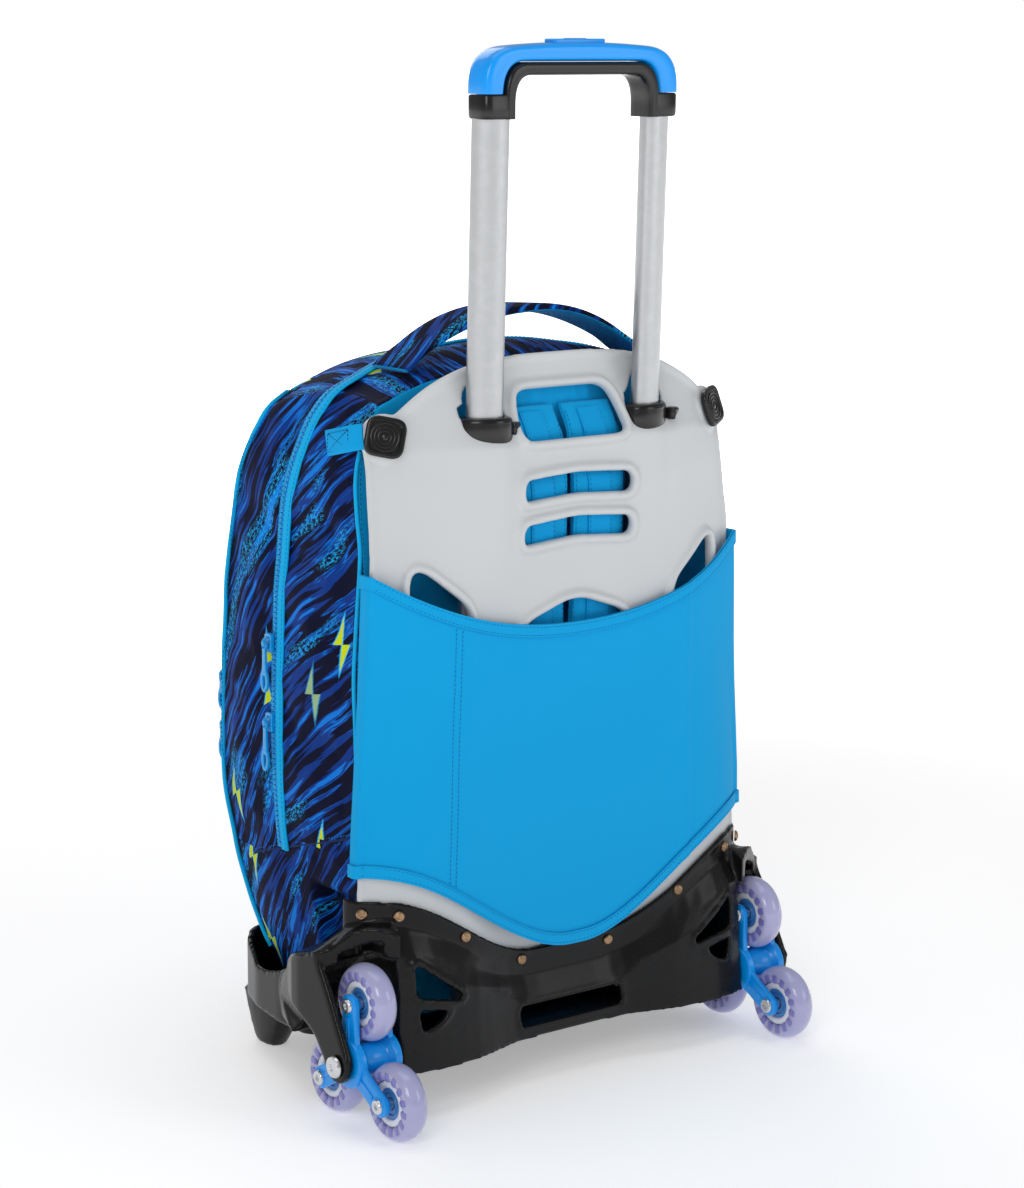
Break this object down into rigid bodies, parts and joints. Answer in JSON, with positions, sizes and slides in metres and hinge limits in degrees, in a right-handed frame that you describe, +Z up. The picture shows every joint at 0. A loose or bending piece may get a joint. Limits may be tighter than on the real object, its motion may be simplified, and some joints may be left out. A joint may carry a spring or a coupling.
{
  "type": "wheeled school backpack trolley",
  "caption": "Printed fabric school backpack on a trolley frame with a telescopic handle, a moulded back panel and tray, a cloth sleeve and stair-climbing three-wheel spiders.",
  "frame": {"origin": "on the floor under the centre of the bounding box, handle as shown, bag on", "axes": "+Z up, +X to the user's right as seen facing the back panel, +Y from the back panel towards the bag's front"},
  "size_m": [0.418, 0.327, 0.7436],
  "materials": {
    "panel_plastic": "satin",
    "tray_plastic": "satin",
    "rivet_metal": "satin",
    "aluminium": "satin",
    "black_plastic": "satin",
    "webbing": "matte",
    "cyan_fabric": "matte",
    "printed_fabric": "matte",
    "steel": "satin",
    "blue_plastic": "satin",
    "clear_urethane": "gloss",
    "wheel_core": "satin",
    "zip_metal": "satin"
  },
  "bodies": {
    "trolley": {"back_panel": "panel_plastic", "base_tray": "tray_plastic", "left_rivet_1": "rivet_metal", "left_rivet_2": "rivet_metal", "left_rivet_3": "rivet_metal", "left_rivet_4": "rivet_metal", "left_outer_tube": "aluminium", "left_collar": "black_plastic", "left_snap_button": "black_plastic", "left_snap_tab": "webbing", "left_shoulder_strap": "cyan_fabric", "left_hub_axle": "steel", "right_rivet_1": "rivet_metal", "right_rivet_2": "rivet_metal", "right_rivet_3": "rivet_metal", "right_rivet_4": "rivet_metal", "right_outer_tube": "aluminium", "right_collar": "black_plastic", "right_snap_button": "black_plastic", "right_snap_tab": "webbing", "right_shoulder_strap": "cyan_fabric", "right_hub_axle": "steel", "fabric_sleeve": "cyan_fabric", "bag_body": "printed_fabric", "front_pocket": "printed_fabric", "carry_handle": "printed_fabric", "back_pad": "cyan_fabric", "lower_zip_slider": "zip_metal", "pocket_upper_zip_slider": "zip_metal", "pocket_lower_zip_slider": "zip_metal"},
    "handle": {"left_inner_tube": "aluminium", "right_inner_tube": "aluminium", "grip_body": "black_plastic", "grip_cover": "blue_plastic"},
    "button": {"handle_button": "blue_plastic"},
    "left_spider": {"left_spider": "blue_plastic", "left_front_axle": "steel", "left_upper_axle": "steel", "left_rear_axle": "steel"},
    "left_front_wheel": {"left_front_tyre": "clear_urethane", "left_front_core": "wheel_core"},
    "left_upper_wheel": {"left_upper_tyre": "clear_urethane", "left_upper_core": "wheel_core"},
    "left_rear_wheel": {"left_rear_tyre": "clear_urethane", "left_rear_core": "wheel_core"},
    "right_spider": {"right_spider": "blue_plastic", "right_front_axle": "steel", "right_upper_axle": "steel", "right_rear_axle": "steel"},
    "right_front_wheel": {"right_front_tyre": "clear_urethane", "right_front_core": "wheel_core"},
    "right_upper_wheel": {"right_upper_tyre": "clear_urethane", "right_upper_core": "wheel_core"},
    "right_rear_wheel": {"right_rear_tyre": "clear_urethane", "right_rear_core": "wheel_core"},
    "upper_zip": {"upper_zip_slider": "zip_metal"},
    "upper_pull": {"upper_zip_pull": "zip_metal"},
    "lower_pull": {"lower_zip_pull": "zip_metal"},
    "pocket_upper_pull": {"pocket_upper_zip_pull": "zip_metal"},
    "pocket_lower_pull": {"pocket_lower_zip_pull": "zip_metal"}
  },
  "joints": [
    {"name": "handle_slide", "type": "slide", "parent": "trolley", "child": "handle", "axis": [0, -0.0302, 0.9995], "range_m": [-0.168, 0.095]},
    {"name": "button_press", "type": "slide", "parent": "handle", "child": "button", "axis": [0, 0, -1], "range_m": [0, 0.004], "stiffness_N_per_m": 800, "springref_m": -0.002},
    {"name": "left_spider_spin", "type": "hinge", "parent": "trolley", "child": "left_spider", "pos_m": [-0.1784, -0.1019, 0.0482], "axis": [1, 0, 0], "continuous": true},
    {"name": "left_front_wheel_spin", "type": "hinge", "parent": "left_spider", "child": "left_front_wheel", "pos_m": [-0.1784, -0.13775, 0.0275], "axis": [1, 0, 0], "continuous": true},
    {"name": "left_upper_wheel_spin", "type": "hinge", "parent": "left_spider", "child": "left_upper_wheel", "pos_m": [-0.1784, -0.1019, 0.0896], "axis": [1, 0, 0], "continuous": true},
    {"name": "left_rear_wheel_spin", "type": "hinge", "parent": "left_spider", "child": "left_rear_wheel", "pos_m": [-0.1784, -0.06605, 0.0275], "axis": [1, 0, 0], "continuous": true},
    {"name": "right_spider_spin", "type": "hinge", "parent": "trolley", "child": "right_spider", "pos_m": [0.1784, -0.1019, 0.0482], "axis": [1, 0, 0], "continuous": true},
    {"name": "right_front_wheel_spin", "type": "hinge", "parent": "right_spider", "child": "right_front_wheel", "pos_m": [0.1784, -0.13775, 0.0275], "axis": [1, 0, 0], "continuous": true},
    {"name": "right_upper_wheel_spin", "type": "hinge", "parent": "right_spider", "child": "right_upper_wheel", "pos_m": [0.1784, -0.1019, 0.0896], "axis": [1, 0, 0], "continuous": true},
    {"name": "right_rear_wheel_spin", "type": "hinge", "parent": "right_spider", "child": "right_rear_wheel", "pos_m": [0.1784, -0.06605, 0.0275], "axis": [1, 0, 0], "continuous": true},
    {"name": "upper_zip_slide", "type": "slide", "parent": "trolley", "child": "upper_zip", "axis": [0, -0.1191, 0.9929], "range_m": [0, 0.09]},
    {"name": "upper_pull_swing", "type": "hinge", "parent": "upper_zip", "child": "upper_pull", "pos_m": [-0.1736, 0.03225, 0.319], "axis": [0, 1, 0], "range_deg": [0, 120]},
    {"name": "lower_pull_swing", "type": "hinge", "parent": "trolley", "child": "lower_pull", "pos_m": [-0.1736, 0.03225, 0.261], "axis": [0, 1, 0], "range_deg": [0, 120]},
    {"name": "pocket_upper_pull_swing", "type": "hinge", "parent": "trolley", "child": "pocket_upper_pull", "pos_m": [-0.1373, 0.14925, 0.27], "axis": [0, 1, 0], "range_deg": [0, 120]},
    {"name": "pocket_lower_pull_swing", "type": "hinge", "parent": "trolley", "child": "pocket_lower_pull", "pos_m": [-0.1373, 0.14925, 0.232], "axis": [0, 1, 0], "range_deg": [0, 120]}
  ]
}
